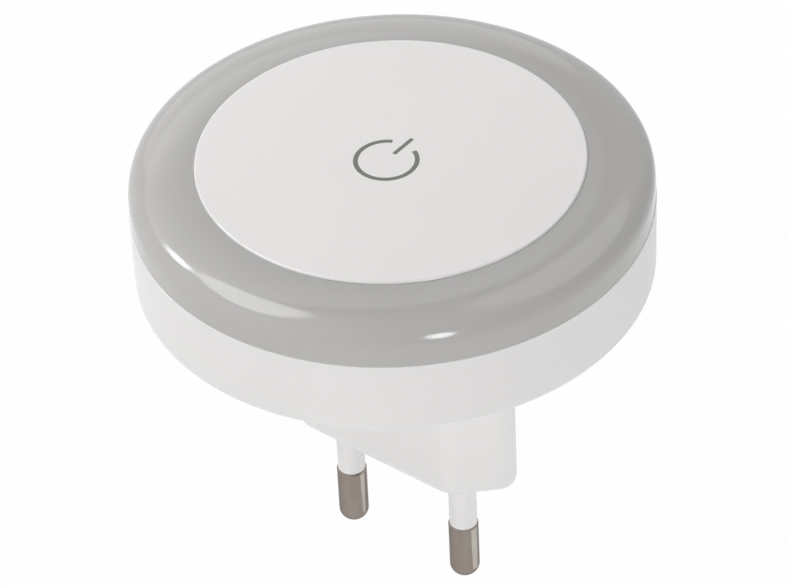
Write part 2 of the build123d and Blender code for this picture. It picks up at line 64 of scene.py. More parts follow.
# Heights and radii that the frame gives
ring_low, ring_high = (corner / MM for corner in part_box("diffuser_ring"))
cap_low, cap_high = (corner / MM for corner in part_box("front_cap"))
pin_low, pin_high = (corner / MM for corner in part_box("pin_right"))
sleeve_low, sleeve_high = (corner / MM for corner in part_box("sleeve_right"))
base_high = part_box("base_housing")[1] / MM
screws_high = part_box("board_screws")[1] / MM
ring_r = ring_high.x
cup_r = base_high.x
cap_z = cap_high.z
cap_hook_r = cap_high.y
cap_disc_r = cap_high.x
floor_z = pin_low.z
pin_x = (pin_low.x + pin_high.x) / 2

# Switch sign on the cap: a ring with a gap at its top and a bar through the gap, printed as a film
# that is sunk into the cap by a share of its thickness
SIGN_Y = -0.85
SIGN_OUTER_R = 4.17
SIGN_STROKE = 0.61
SIGN_GAP_HALF = 26.4
SIGN_BAR_WIDTH = 0.54
SIGN_BAR_LOW = 1.55
SIGN_BAR_HIGH = 5.32
SIGN_THICKNESS = 0.012
SIGN_SUNK = 0.5

# Base: walls and corner radii of the cup and of the boss. The boss is a flattened octagon, given by
# the x, y and radius of the two corners in a quarter of it.
CUP_DRAFT = 0.05
CUP_WALL = 1.8
CUP_EDGE_R = 0.6
CUP_RIM_R = 0.12
CUP_ROOT_R = 0.6
CUP_FLOOR = 2.0
CUP_HEIGHT = 10.2
BOSS_CORNERS = ((17.9, 1.0, 2.2), (12.25, 6.65, 4.4))
OCTAGON_HALF = 22.5
HUB_MARGIN = 1.0
BOSS_EDGE_R = 1.8
BOSS_WALL = 1.8
BOSS_FACE = 4.0
POST_R = 3.0
SCREW_HEAD_R = 1.9
POST_RISE = 3.5

# Ring: crown, inner wall, and spigot with its snaps
RING_SIDE = 2.55
CROWN_BULGE = 0.55
RING_WALL = 1.7
RING_FOOT = 1.1
BORE_GAP = 0.01
REST_GAP = 0.02
BORE_WALL = 1.3
BORE_DEPTH = 4.4
SPIGOT_GAP = 0.1
SPIGOT_WALL = 1.3
SPIGOT_DEPTH = 2.7
SNAP_REACH = 0.5
SNAP_ARC = 24.0
SNAP_COUNT = 4

# Seam between the cup and the ring, and the foot of the snaps below it
seam_z = ring_low.z + SPIGOT_DEPTH
snap_z = ring_low.z + 2 * SPIGOT_GAP

# Cap: disc, skirt, hooked arms, hub and ribs
CAP_T = 1.6
CAP_EDGE_R = 0.28
CAP_SKIRT = 1.2
CAP_ARM_ARC = 22.0
CAP_HOOK = 1.1
CAP_HUB_R = 2.4
CAP_RIB_WIDTH = 0.8
CAP_RIB_HEIGHT = 1.2

# Turns of the screw posts and the spring arms, and of the ribs
THIRDS = (90, 210, 330)
SIXTHS = (30, 90, 150, 210, 270, 330)

# Pins and sleeves; the solder tab by its width, depth and height
PIN_R = 2.0
PIN_TIP_R = 1.75
PIN_SHOULDER = 0.25
PIN_CORE_R = 1.45
PIN_TAB = (2.4, 1.2, 8.0)
FLANGE_T = 1.4
SLEEVE_GAP = 0.03
SLEEVE_EDGE_R = 0.08

# Fineness of the meshes
TURN_STEPS = 240
PIN_STEPS = 96
ARC_STEPS = 8
CROWN_STEPS = 64
SHARP_ANGLE = 32.0
WELD_GAP = 0.0005
FLAT_WEIGHT = 100

# Colours and their shades
WHITE = (0.806, 0.794, 0.786)
WHITE_SHADE = (0.791, 0.779, 0.771)
OPAL = (0.479, 0.469, 0.458)
OPAL_SHADE = (0.463, 0.453, 0.443)
# Painted shade: the grey that the opal ring is coloured next to the cap's disc
OPAL_PAINTED_SHADE = (0.353, 0.345, 0.337)
CAP = (0.800, 0.784, 0.776)
CAP_SHADE = (0.785, 0.769, 0.761)
SIGN_GREY = (0.135, 0.131, 0.121)
SIGN_SHADE = (0.121, 0.118, 0.109)
NICKEL = (0.310, 0.272, 0.245)
NICKEL_SHADE = (0.262, 0.220, 0.195)
NICKEL_EDGE = (0.55, 0.55, 0.55)
ZINC = (0.560, 0.560, 0.570)
ZINC_SHADE = (0.500, 0.500, 0.505)
ALUMINIUM = (0.620, 0.620, 0.630)
BLACK = (0.030, 0.030, 0.030)
BLACK_SHADE = (0.022, 0.022, 0.024)
CERAMIC = (0.060, 0.060, 0.070)
CERAMIC_SHADE = (0.045, 0.045, 0.052)
WHITE_RESIST = (0.720, 0.740, 0.720)
WHITE_COPPER = (0.680, 0.695, 0.670)
GREEN_RESIST = (0.100, 0.280, 0.130)
GREEN_COPPER = (0.135, 0.370, 0.160)
PACKAGE = (0.800, 0.800, 0.780)
PACKAGE_SHADE = (0.770, 0.770, 0.750)
PHOSPHOR = (0.850, 0.650, 0.120)
BOX_YELLOW = (0.650, 0.450, 0.080)
BOX_SHADE = (0.600, 0.405, 0.065)
CAN_SLEEVE = (0.030, 0.040, 0.070)
CAN_SHADE = (0.024, 0.031, 0.055)
LACQUER = (0.220, 0.380, 0.420)
LACQUER_SHADE = (0.185, 0.335, 0.375)
RED = (0.550, 0.040, 0.030)
RED_SHADE = (0.500, 0.034, 0.026)

# Finishes of plastics: two tones, range of roughness, grain in waves per millimetre and its depth
FINISHES = {
    "white_housing": (WHITE, WHITE_SHADE, (0.30, 0.38), 6.0, 0.0015),
    "opal_diffuser": (OPAL, OPAL_SHADE, (0.10, 0.13), 2.0, 0.0004),
    "white_cap": (CAP, CAP_SHADE, (0.52, 0.60), 12.0, 0.002),
    "white_sleeve": (WHITE, WHITE_SHADE, (0.34, 0.42), 8.0, 0.0015),
    "white_inner": (WHITE, WHITE_SHADE, (0.45, 0.55), 4.0, 0.003),
    "sign_print": (SIGN_GREY, SIGN_SHADE, (0.40, 0.50), 12.0, 0.002),
    "white_board": (WHITE_RESIST, WHITE_RESIST, (0.28, 0.36), 3.0, 0.001),
    "power_board": (GREEN_RESIST, GREEN_RESIST, (0.28, 0.36), 3.0, 0.001),
    "led_package": (PACKAGE, PACKAGE_SHADE, (0.35, 0.45), 5.0, 0.001),
    "black_plastic": (BLACK, BLACK_SHADE, (0.40, 0.50), 5.0, 0.003),
    "chip_ceramic": (CERAMIC, CERAMIC_SHADE, (0.35, 0.50), 6.0, 0.002),
    "capacitor_box": (BOX_YELLOW, BOX_SHADE, (0.25, 0.33), 4.0, 0.001),
    "capacitor_can": (CAN_SLEEVE, CAN_SHADE, (0.22, 0.30), 3.0, 0.001),
    "fuse_body": (LACQUER, LACQUER_SHADE, (0.35, 0.45), 4.0, 0.004),
    "red_wire": (RED, RED_SHADE, (0.30, 0.38), 5.0, 0.002),
    "black_wire": (BLACK, BLACK_SHADE, (0.30, 0.38), 5.0, 0.002),
}

# Noise: the span that it mostly keeps to, the detail of a grain, and of each other noise the scale
# in waves per millimetre, the detail, and on the pins the stretch along x, y and z
NOISE_LOW = 0.3
NOISE_HIGH = 0.7
GRAIN_DETAIL = 2.0
DRIFT = (0.05, 3.0)
WAVES = (0.12, 1.0)
WAVE_DEPTH = 0.02
PIN_CLOUD = (0.5, 4.0, (1, 1, 0.35))
PIN_LINES = (5.0, 3.0, (1, 1, 0.03))
PIN_LINE_DEPTH = 0.0015
PIN_ROUGHNESS = (0.07, 0.12)
SPANGLE = (1.2, 3.0)
ZINC_ROUGHNESS = (0.25, 0.40)
ZINC_GRAIN = 6.0
ZINC_GRAIN_DEPTH = 0.002

# Polished rim of the cap, which starts at so many edge radii in from it
RIM_ROUGHNESS = 0.16
RIM_START = 1.2

# Copper areas of the boards: cells in each millimetre, how far they stray from a grid, the step in
# their random tone where copper starts, and their height
COPPER_SCALE = 0.25
COPPER_STRAY = 0.7
COPPER_FROM = 0.40
COPPER_TO = 0.41
COPPER_RISE = 0.03

# Least upward part of the normal of a face that looks up, and a margin over the top of the can
UPWARD_FROM = 0.9
ABOVE_CAN = 1.0

# Floor, world and lamps
FLOOR_HALF = 4000.0
FLOOR_DROP = 150.0
FLOOR_WHITE = 0.85
FLOOR_SEEN = 0.97
WORLD_LIGHT = 0.15
WORLD_SEEN = 1.0
LAMP_DISTANCE = 500.0

# Lamps: name, direction from the head with the camera's side at -y, angles across and along and how
# far it leans, radiance where a white background is 1, and whether the gloss shows it
LAMPS = (
    ("key_streak", (-0.632, 0.392, 0.670), (14, 10, -36), 10.5, True),
    ("key_soft", (-0.50, 0.117, 0.861), (45, 26, -24), 4.5, True),
    ("back_left", (-0.34, 0.63, 0.70), (56, 30, 0), 1.0, True),
    ("back_low", (-0.14, 0.90, 0.40), (40, 24, 0), 0.88, True),
    ("front_small", (0.258, -0.942, 0.217), (10, 26, 0), 12.5, True),
    ("top_right", (0.47, 0.33, 0.82), (50, 36, 0), 0.9, True),
    ("fill_left", (-0.89, -0.45, 0.08), (50, 50, 0), 2.1, False),
    ("fill_right", (0.70, -0.71, 0.00), (50, 50, 0), 1.32, False),
    ("fill_back", (0.25, 0.95, -0.20), (50, 50, 0), 1.6, False),
)

# Cool lamp beside the pins, which draws the bright line along them
PIN_STRIPE = ("pin_stripe", (0.770, -0.040, -0.637), (54, 16, 0), 0.95, True)
STRIPE_DISTANCE = 130.0
STRIPE_TINT = (0.82, 0.98, 1.0)


def turned(x, y, z):
    """A direction seen from the photograph's side, turned into the model's frame."""
    return Matrix.Rotation(math.radians(CAMERA_TURN), 3, "Z") @ Vector((x, y, z))


def link(name, mesh, material, body, slot, *nodes):
    """Makes an object of a mesh, which rides on a body and stands for CAD nodes."""
    piece = bpy.data.objects.new(name, mesh)
    bpy.context.scene.collection.objects.link(piece)
    mesh.materials.append(material)
    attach(piece, body)
    if nodes:
        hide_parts(*nodes)
    return piece


def rounded(corners):
    """Points of a closed outline through corners (x, y, radius), each rounded to its radius."""
    points = []
    for index, (x, y, radius) in enumerate(corners):
        here = Vector((x, y))
        if radius == 0:
            points.append(here)
            continue
        before = (Vector(corners[index - 1][:2]) - here).normalized()
        after = (Vector(corners[(index + 1) % len(corners)][:2]) - here).normalized()
        half = before.angle(after) / 2
        middle = here + (before + after).normalized() * radius / math.sin(half)
        first = here + before * radius / math.tan(half) - middle
        sweep = math.pi - 2 * half
        if before.x * after.y - before.y * after.x > 0:
            sweep = -sweep
        for step in range(ARC_STEPS + 1):
            points.append(middle + Matrix.Rotation(sweep * step / ARC_STEPS, 2) @ first)
    return points


def faced(bm, verts):
    """A face of these vertices in order, without repeats, where at least three are left."""
    unique = list(dict.fromkeys(verts))
    if len(unique) > 2:
        bm.faces.new(unique)


def lathe(bm, profile, closed=True, centre=(0, 0), start=0.0, arc=360.0, steps=TURN_STEPS):
    """Turns a profile of (radius, height) points about an upright axis; part turns get ends."""
    whole = arc >= 360
    count = max(2, round(steps * arc / 360))
    stops = count if whole else count + 1
    turns = [math.radians(start + arc * index / count) for index in range(stops)]
    rows = []
    for radius, height in profile:
        around = turns if radius > 0 else turns[:1]
        row = [
            bm.verts.new((
                (centre[0] + radius * math.cos(turn)) * MM,
                (centre[1] + radius * math.sin(turn)) * MM,
                height * MM,
            ))
            for turn in around
        ]
        rows.append(row if radius > 0 else row * len(turns))
    pairs = list(zip(rows, rows[1:] + rows[:1]))
    for row, above in pairs if closed else pairs[:-1]:
        for index in range(count):
            after = (index + 1) % len(turns)
            faced(bm, [row[index], row[after], above[after], above[index]])
    if not whole:
        faced(bm, [row[0] for row in rows])
        faced(bm, [row[-1] for row in rows])


def prism(bm, outline, low, high):
    """Upright prism on an outline of (x, y) points, from one height to another."""
    bottom = [bm.verts.new((x * MM, y * MM, low * MM)) for x, y in outline]
    top = [bm.verts.new((x * MM, y * MM, high * MM)) for x, y in outline]
    faced(bm, bottom)
    faced(bm, top)
    for index in range(len(outline)):
        before = index - 1
        faced(bm, [bottom[before], bottom[index], top[index], top[before]])


def skin(bm, outlines):
    """Wall through outlines of equal count, given as (points, height) from one end to the other."""
    rows = [
        [bm.verts.new((x * MM, y * MM, height * MM)) for x, y in points]
        for points, height in outlines
    ]
    for row, above in zip(rows, rows[1:]):
        for index in range(len(row)):
            before = index - 1
            faced(bm, [row[before], row[index], above[index], above[before]])


def sheet(bm, height, *loops):
    """Flat face at a height inside the first loop of (x, y) points, with the others as holes."""
    edges = []
    for loop in loops:
        verts = [bm.verts.new((x * MM, y * MM, height * MM)) for x, y in loop]
        edges += [bm.edges.new(pair) for pair in zip(verts[-1:] + verts[:-1], verts)]
    bmesh.ops.triangle_fill(bm, use_beauty=True, edges=edges)


def circle(radius, centre=(0, 0), steps=TURN_STEPS):
    """Points of a circle, at the same turns as lathe uses."""
    turns = [math.tau * index / steps for index in range(steps)]
    x, y = centre
    return [(x + radius * math.cos(turn), y + radius * math.sin(turn)) for turn in turns]


def settled(name, bm):
    """Joins a bmesh's seams, turns its faces outward and makes a smooth mesh with crisp corners."""
    bmesh.ops.remove_doubles(bm, verts=bm.verts, dist=WELD_GAP * MM)
    bmesh.ops.recalc_face_normals(bm, faces=bm.faces)
    mesh = bpy.data.meshes.new(name)
    bm.to_mesh(mesh)
    bm.free()
    mesh.shade_smooth()
    mesh.set_sharp_from_angle(angle=math.radians(SHARP_ANGLE))
    return mesh


def weigh(piece):
    """Lets large flat faces set the normals at their edges, so that they shade flat."""
    weights = piece.modifiers.new("flat_faces", "WEIGHTED_NORMAL")
    weights.keep_sharp = True
    weights.weight = FLAT_WEIGHT


def boss_outline(inset):
    """Flattened octagon of the plug boss with rounded corners, drawn in by inset."""
    (end_x, end_y, end_r), (flat_x, flat_y, flat_r) = BOSS_CORNERS
    slide = inset * math.tan(math.radians(OCTAGON_HALF))
    quarter = [
        (end_x - inset, end_y - slide, end_r - inset),
        (flat_x - slide, flat_y - inset, flat_r - inset),
    ]
    right = [(x, -y, r) for x, y, r in quarter[::-1]] + quarter
    return rounded(right + [(-x, -y, r) for x, y, r in right])


def make_base():
    """Cup and plug boss as one moulding, with the snap groove, pin seats and screw posts."""
    under_z = seam_z - CUP_HEIGHT
    inside_z = under_z + CUP_FLOOR
    hub_r = BOSS_CORNERS[0][0] + HUB_MARGIN
    wall_r = cup_r - CUP_WALL
    bm = bmesh.new()
    cup = rounded([
        (hub_r, under_z, 0),
        (cup_r - CUP_DRAFT, under_z, CUP_EDGE_R),
        (cup_r, seam_z, CUP_RIM_R),
        (wall_r, seam_z, CUP_RIM_R),
        (wall_r, snap_z + 3 * SNAP_REACH + SPIGOT_GAP, 0),
        (wall_r + SNAP_REACH, snap_z + 2 * SNAP_REACH + SPIGOT_GAP, 0),
        (wall_r + SNAP_REACH, snap_z + SNAP_REACH - SPIGOT_GAP, 0),
        (wall_r, snap_z - SPIGOT_GAP, 0),
        (wall_r, inside_z, CUP_ROOT_R),
        (hub_r, inside_z, 0),
    ])
    lathe(bm, cup, closed=False)
    sheet(bm, under_z, circle(hub_r), boss_outline(0))
    sheet(bm, inside_z, circle(hub_r), boss_outline(BOSS_WALL))
    turns = [math.pi / 2 * step / ARC_STEPS for step in range(ARC_STEPS + 1)]
    rim = [
        (boss_outline(BOSS_EDGE_R * (1 - math.sin(turn))), BOSS_EDGE_R * (1 - math.cos(turn)))
        for turn in turns
    ]
    skin(bm, rim + [(boss_outline(0), under_z)])
    skin(bm, [(boss_outline(BOSS_WALL), BOSS_FACE), (boss_outline(BOSS_WALL), inside_z)])
    hole_r = sleeve_high.x - pin_x + SLEEVE_GAP
    seat_r = pin_high.x - pin_x + SLEEVE_GAP
    seat_z = BOSS_FACE - FLANGE_T
    places = [(-pin_x, 0), (pin_x, 0)]
    holes = [circle(hole_r, at, PIN_STEPS) for at in places]
    seats = [circle(seat_r, at, PIN_STEPS) for at in places]
    sheet(bm, 0, boss_outline(BOSS_EDGE_R), *holes)
    sheet(bm, BOSS_FACE, boss_outline(BOSS_WALL), *seats)
    seat = [(hole_r, 0), (hole_r, seat_z), (seat_r, seat_z), (seat_r, BOSS_FACE)]
    for at in places:
        lathe(bm, seat, closed=False, centre=at, steps=PIN_STEPS)
    post_z = inside_z + POST_RISE
    post = [(0, inside_z), (POST_R, inside_z), (POST_R, post_z), (0, post_z)]
    reach = screws_high.y - SCREW_HEAD_R
    for turn in map(math.radians, THIRDS):
        at = (reach * math.cos(turn), reach * math.sin(turn))
        lathe(bm, post, centre=at, steps=PIN_STEPS)
    mesh = settled("base_moulding", bm)
    weigh(link("base_moulding", mesh, white_housing, "base", "white_housing", "base_housing"))


def crown(inner_r, high_z, outer_r, low_z):
    """Points of a smooth crown, from its level inner end down to its upright outer end."""
    bulge_r = inner_r + CROWN_BULGE * (outer_r - inner_r)
    ends = [(inner_r, high_z), (bulge_r, high_z), (outer_r, high_z), (outer_r, low_z)]
    return interpolate_bezier(*[Vector(end) for end in ends], CROWN_STEPS)


def make_ring():
    """Opal diffuser ring: crown, inner wall that guides the cap, and spigot with snaps."""
    spigot_r = cup_r - CUP_WALL - SPIGOT_GAP
    bore_r = cap_disc_r + BORE_GAP
    body = [
        (ring_r, seam_z),
        (spigot_r, seam_z),
        (spigot_r, seam_z - SPIGOT_DEPTH),
        (spigot_r - SPIGOT_WALL, seam_z - SPIGOT_DEPTH),
        (spigot_r - SPIGOT_WALL, seam_z + RING_FOOT),
        (ring_r - RING_WALL, seam_z + RING_FOOT),
    ]
    side_z = seam_z + RING_SIDE
    inside = crown(bore_r + BORE_WALL, ring_high.z - RING_WALL, ring_r - RING_WALL, side_z)
    lip_z = ring_high.z - BORE_DEPTH
    bore = [(bore_r + BORE_WALL, lip_z), (bore_r, lip_z)]
    bm = bmesh.new()
    lathe(bm, body + inside[::-1] + bore + crown(bore_r, ring_high.z, ring_r, side_z))
    snap = [
        (spigot_r - SPIGOT_WALL / 2, snap_z),
        (spigot_r, snap_z),
        (spigot_r + SNAP_REACH, snap_z + SNAP_REACH),
        (spigot_r + SNAP_REACH, snap_z + 2 * SNAP_REACH),
        (spigot_r, snap_z + 3 * SNAP_REACH),
        (spigot_r - SPIGOT_WALL / 2, snap_z + 3 * SNAP_REACH),
    ]
    for index in range(SNAP_COUNT):
        lathe(bm, snap, start=(index + 0.5) * 360 / SNAP_COUNT - SNAP_ARC / 2, arc=SNAP_ARC)
    mesh = settled("opal_ring", bm)
    weigh(link("opal_ring", mesh, opal_diffuser, "base", "opal_diffuser", "diffuser_ring"))


def make_cap():
    """Front disc on its skirt, with spring arms, hub and ribs behind it."""
    top_z = cap_z - SIGN_THICKNESS
    back_z = cap_z - CAP_T
    lip_z = ring_high.z - BORE_DEPTH
    skirt_z = lip_z + CAP_HOOK / 2
    skirt_r = cap_disc_r - CAP_SKIRT
    bm = bmesh.new()
    disc = rounded([
        (cap_disc_r, skirt_z, 0),
        (cap_disc_r, top_z, CAP_EDGE_R),
        (0, top_z, 0),
        (0, back_z, 0),
        (skirt_r, back_z, 0),
        (skirt_r, skirt_z, 0),
    ])
    lathe(bm, disc)
    arm = [
        (skirt_r, skirt_z),
        (skirt_r, cap_low.z),
        (cap_disc_r, cap_low.z),
        (cap_hook_r, lip_z - CAP_HOOK / 3),
        (cap_hook_r, lip_z - REST_GAP),
        (cap_disc_r, lip_z - REST_GAP),
        (cap_disc_r, skirt_z),
    ]
    for turn in THIRDS:
        lathe(bm, arm, start=turn - CAP_ARM_ARC / 2, arc=CAP_ARM_ARC)
    hub_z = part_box("switch_plunger")[1].z / MM
    lathe(bm, [(0, back_z), (CAP_HUB_R, back_z), (CAP_HUB_R, hub_z), (0, hub_z)], steps=PIN_STEPS)
    corners = [(CAP_HUB_R / 2, -1), (skirt_r, -1), (skirt_r, 1), (CAP_HUB_R / 2, 1)]
    for turn in SIXTHS:
        spin = Matrix.Rotation(math.radians(turn), 2)
        outline = [spin @ Vector((x, side * CAP_RIB_WIDTH / 2)) for x, side in corners]
        prism(bm, outline, back_z - CAP_RIB_HEIGHT, back_z)
    weigh(link("cap_disc", settled("cap_disc", bm), white_cap, "cap", "white_cap", "front_cap"))


def make_sign():
    """Printed switch sign: an open ring and a bar, a film on the cap that rides with it."""
    bm = bmesh.new()
    low, high = cap_z - (1 + SIGN_SUNK) * SIGN_THICKNESS, cap_z
    band = [
        (SIGN_OUTER_R, low),
        (SIGN_OUTER_R, high),
        (SIGN_OUTER_R - SIGN_STROKE, high),
        (SIGN_OUTER_R - SIGN_STROKE, low),
    ]
    lathe(bm, band, centre=(0, SIGN_Y), start=90 + SIGN_GAP_HALF, arc=360 - 2 * SIGN_GAP_HALF)
    half = SIGN_BAR_WIDTH / 2
    bottom, top = SIGN_Y + SIGN_BAR_LOW, SIGN_Y + SIGN_BAR_HIGH
    prism(bm, [(-half, bottom), (half, bottom), (half, top), (-half, top)], low, high)
    link("switch_sign", settled("switch_sign", bm), sign_print, "cap", "white_cap")


def make_pin(side, name):
    """Contact pin with its rounded tip, shoulder, core, flange and solder tab."""
    at = (side * pin_x, 0)
    flange_r = pin_high.x - pin_x
    flange_z = BOSS_FACE - FLANGE_T
    shoulder = [
        (PIN_R, sleeve_low.z - PIN_SHOULDER, 0),
        (PIN_R - PIN_SHOULDER, sleeve_low.z, 0),
        (PIN_CORE_R, sleeve_low.z, 0),
        (PIN_CORE_R, flange_z, 0),
        (flange_r, flange_z, 0),
        (flange_r, BOSS_FACE, 0),
        (0, BOSS_FACE, 0),
    ]
    bm = bmesh.new()
    profile = rounded([(0, floor_z, 0), (PIN_R, floor_z, PIN_TIP_R)] + shoulder)
    lathe(bm, profile, centre=at, steps=PIN_STEPS)
    width, depth, rise = PIN_TAB
    corners = ((-1, -1), (1, -1), (1, 1), (-1, 1))
    tab = [(at[0] + x * width / 2, y * depth / 2) for x, y in corners]
    prism(bm, tab, BOSS_FACE, BOSS_FACE + rise)
    pin = "contact_" + name
    weigh(link(pin, settled(pin, bm), nickel_pin, "base", "nickel_pin", "pin_" + name))


def make_sleeve(side, name):
    """Insulating sleeve of a pin, with a slightly broken lower edge."""
    outer_r = sleeve_high.x - pin_x
    section = rounded([
        (outer_r, sleeve_low.z, SLEEVE_EDGE_R),
        (outer_r, sleeve_high.z, 0),
        (PIN_CORE_R + SLEEVE_GAP, sleeve_high.z, 0),
        (PIN_CORE_R + SLEEVE_GAP, sleeve_low.z, 0),
    ])
    bm = bmesh.new()
    lathe(bm, section, centre=(side * pin_x, 0), steps=PIN_STEPS)
    sleeve = "insulation_" + name
    weigh(link(sleeve, settled(sleeve, bm), white_sleeve, "base", "white_sleeve", "sleeve_" + name))


def shader(name, **sockets):
    """A new material, its node tree and its Principled shader with these sockets set."""
    material = bpy.data.materials.new(name)
    material.use_nodes = True
    tree = material.node_tree
    principled = tree.nodes["Principled BSDF"]
    for key, value in sockets.items():
        principled.inputs[key.replace("_", " ")].default_value = value
    return material, tree, principled


def noise(tree, scale, detail=GRAIN_DETAIL, stretch=(1, 1, 1)):
    """Noise in object space, scale in waves per millimetre; returns its factor output."""
    place = tree.nodes.new("ShaderNodeTexCoord")
    mapping = tree.nodes.new("ShaderNodeMapping")
    mapping.inputs["Scale"].default_value = stretch
    texture = tree.nodes.new("ShaderNodeTexNoise")
    texture.inputs["Scale"].default_value = scale / MM
    texture.inputs["Detail"].default_value = detail
    tree.links.new(place.outputs["Object"], mapping.inputs["Vector"])
    tree.links.new(mapping.outputs["Vector"], texture.inputs["Vector"])
    return texture.outputs["Fac"]


def ranged(tree, factor, low, high):
    """Maps a noise onto the range from low to high."""
    node = tree.nodes.new("ShaderNodeMapRange")
    node.inputs["From Min"].default_value = NOISE_LOW
    node.inputs["From Max"].default_value = NOISE_HIGH
    node.inputs["To Min"].default_value = low
    node.inputs["To Max"].default_value = high
    tree.links.new(factor, node.inputs["Value"])
    return node.outputs["Result"]


def blended(tree, factor, first, second):
    """Mixes two colours by a factor."""
    node = tree.nodes.new("ShaderNodeMix")
    node.data_type = "RGBA"
    node.inputs["A"].default_value = (*first, 1)
    node.inputs["B"].default_value = (*second, 1)
    tree.links.new(factor, node.inputs["Factor"])
    return node.outputs["Result"]


def bumped(tree, height, depth, normal=None):
    """Bump of a height factor, depth in millimetres, over another bump if one is given."""
    node = tree.nodes.new("ShaderNodeBump")
    node.inputs["Distance"].default_value = depth * MM
    tree.links.new(height, node.inputs["Height"])
    if normal:
        tree.links.new(normal, node.inputs["Normal"])
    return node.outputs["Normal"]


def radial(tree, zero_r, one_r):
    """Factor that goes from 0 at one radius from the middle axis to 1 at another."""
    place = tree.nodes.new("ShaderNodeTexCoord")
    flat = tree.nodes.new("ShaderNodeVectorMath")
    flat.operation = "MULTIPLY"
    flat.inputs[1].default_value = (1, 1, 0)
    length = tree.nodes.new("ShaderNodeVectorMath")
    length.operation = "LENGTH"
    rise = tree.nodes.new("ShaderNodeMapRange")
    rise.inputs["From Min"].default_value = zero_r * MM
    rise.inputs["From Max"].default_value = one_r * MM
    tree.links.new(place.outputs["Object"], flat.inputs[0])
    tree.links.new(flat.outputs["Vector"], length.inputs[0])
    tree.links.new(length.outputs["Value"], rise.inputs["Value"])
    return rise.outputs["Result"]


def moulded(name):
    """Moulded plastic: a faint drift of colour, slight waviness and a fine surface grain."""
    colour, shade, rough, grain, grain_depth = FINISHES[name]
    material, tree, principled = shader(name)
    drift = noise(tree, *DRIFT)
    fine = noise(tree, grain)
    tones = blended(tree, ranged(tree, drift, 0.0, 1.0), colour, shade)
    tree.links.new(tones, principled.inputs["Base Color"])
    tree.links.new(ranged(tree, fine, *rough), principled.inputs["Roughness"])
    wave = bumped(tree, noise(tree, *WAVES), WAVE_DEPTH)
    tree.links.new(bumped(tree, fine, grain_depth, wave), principled.inputs["Normal"])
    return material


def repainted(material, factor, colour):
    """Puts a colour over the base colour of a material where a factor is 1."""
    tree = material.node_tree
    target = tree.nodes["Principled BSDF"].inputs["Base Color"]
    under = target.links[0].from_socket
    node = tree.nodes.new("ShaderNodeMix")
    node.data_type = "RGBA"
    node.inputs["B"].default_value = (*colour, 1)
    tree.links.new(factor, node.inputs["Factor"])
    tree.links.new(under, node.inputs["A"])
    tree.links.new(node.outputs["Result"], target)


def opal():
    """Opal plastic with painted shade: greyer towards the cap's disc, above the thick inner wall, and
    paler towards the outer corner.
    """
    material = moulded("opal_diffuser")
    # Painted shade: the ring's colour goes greyer towards the disc, where it meets the disc's raised
    # edge
    repainted(material, radial(material.node_tree, ring_r, cap_disc_r), OPAL_PAINTED_SHADE)
    return material


def satin():
    """Satin plastic of the front disc, polished on its rounded rim."""
    material = moulded("white_cap")
    tree = material.node_tree
    roughness = tree.nodes["Principled BSDF"].inputs["Roughness"]
    flat = roughness.links[0].from_socket
    start_r = cap_disc_r - RIM_START * CAP_EDGE_R
    node = tree.nodes.new("ShaderNodeMix")
    node.inputs["B"].default_value = RIM_ROUGHNESS
    tree.links.new(radial(tree, start_r, cap_disc_r - CAP_EDGE_R), node.inputs["Factor"])
    tree.links.new(flat, node.inputs["A"])
    tree.links.new(node.outputs["Result"], roughness)
    return material


def nickel():
    """Drawn nickel-plated pin: fine lines along the pin and cloudy brown-grey tarnish."""
    edge = (*NICKEL_EDGE, 1)
    material, tree, principled = shader("nickel_pin", Metallic=1.0, Specular_Tint=edge)
    cloud = noise(tree, *PIN_CLOUD)
    lines = noise(tree, *PIN_LINES)
    colour = blended(tree, ranged(tree, cloud, 0.0, 1.0), NICKEL, NICKEL_SHADE)
    tree.links.new(colour, principled.inputs["Base Color"])
    tree.links.new(ranged(tree, lines, *PIN_ROUGHNESS), principled.inputs["Roughness"])
    tree.links.new(bumped(tree, lines, PIN_LINE_DEPTH), principled.inputs["Normal"])
    return material


def zinc():
    """Zinc-plated steel: bright and slightly spangled."""
    material, tree, principled = shader("steel_screw", Metallic=1.0)
    spangle = noise(tree, *SPANGLE)
    colour = blended(tree, ranged(tree, spangle, 0.0, 1.0), ZINC, ZINC_SHADE)
    tree.links.new(colour, principled.inputs["Base Color"])
    tree.links.new(ranged(tree, spangle, *ZINC_ROUGHNESS), principled.inputs["Roughness"])
    grain = bumped(tree, noise(tree, ZINC_GRAIN), ZINC_GRAIN_DEPTH)
    tree.links.new(grain, principled.inputs["Normal"])
    return material


def board(name, copper):
    """Circuit board: solder resist, raised and of another tone over straight-edged copper areas."""
    material = moulded(name)
    tree = material.node_tree
    place = tree.nodes.new("ShaderNodeTexCoord")
    cells = tree.nodes.new("ShaderNodeTexVoronoi")
    cells.distance = "CHEBYCHEV"
    cells.inputs["Scale"].default_value = COPPER_SCALE / MM
    cells.inputs["Randomness"].default_value = COPPER_STRAY
    tree.links.new(place.outputs["Object"], cells.inputs["Vector"])
    area = tree.nodes.new("ShaderNodeMapRange")
    area.inputs["From Min"].default_value = COPPER_FROM
    area.inputs["From Max"].default_value = COPPER_TO
    tree.links.new(cells.outputs["Color"], area.inputs["Value"])
    repainted(material, area.outputs["Result"], copper)
    normal = tree.nodes["Principled BSDF"].inputs["Normal"]
    under = normal.links[0].from_socket
    tree.links.new(bumped(tree, area.outputs["Result"], COPPER_RISE, under), normal)
    return material


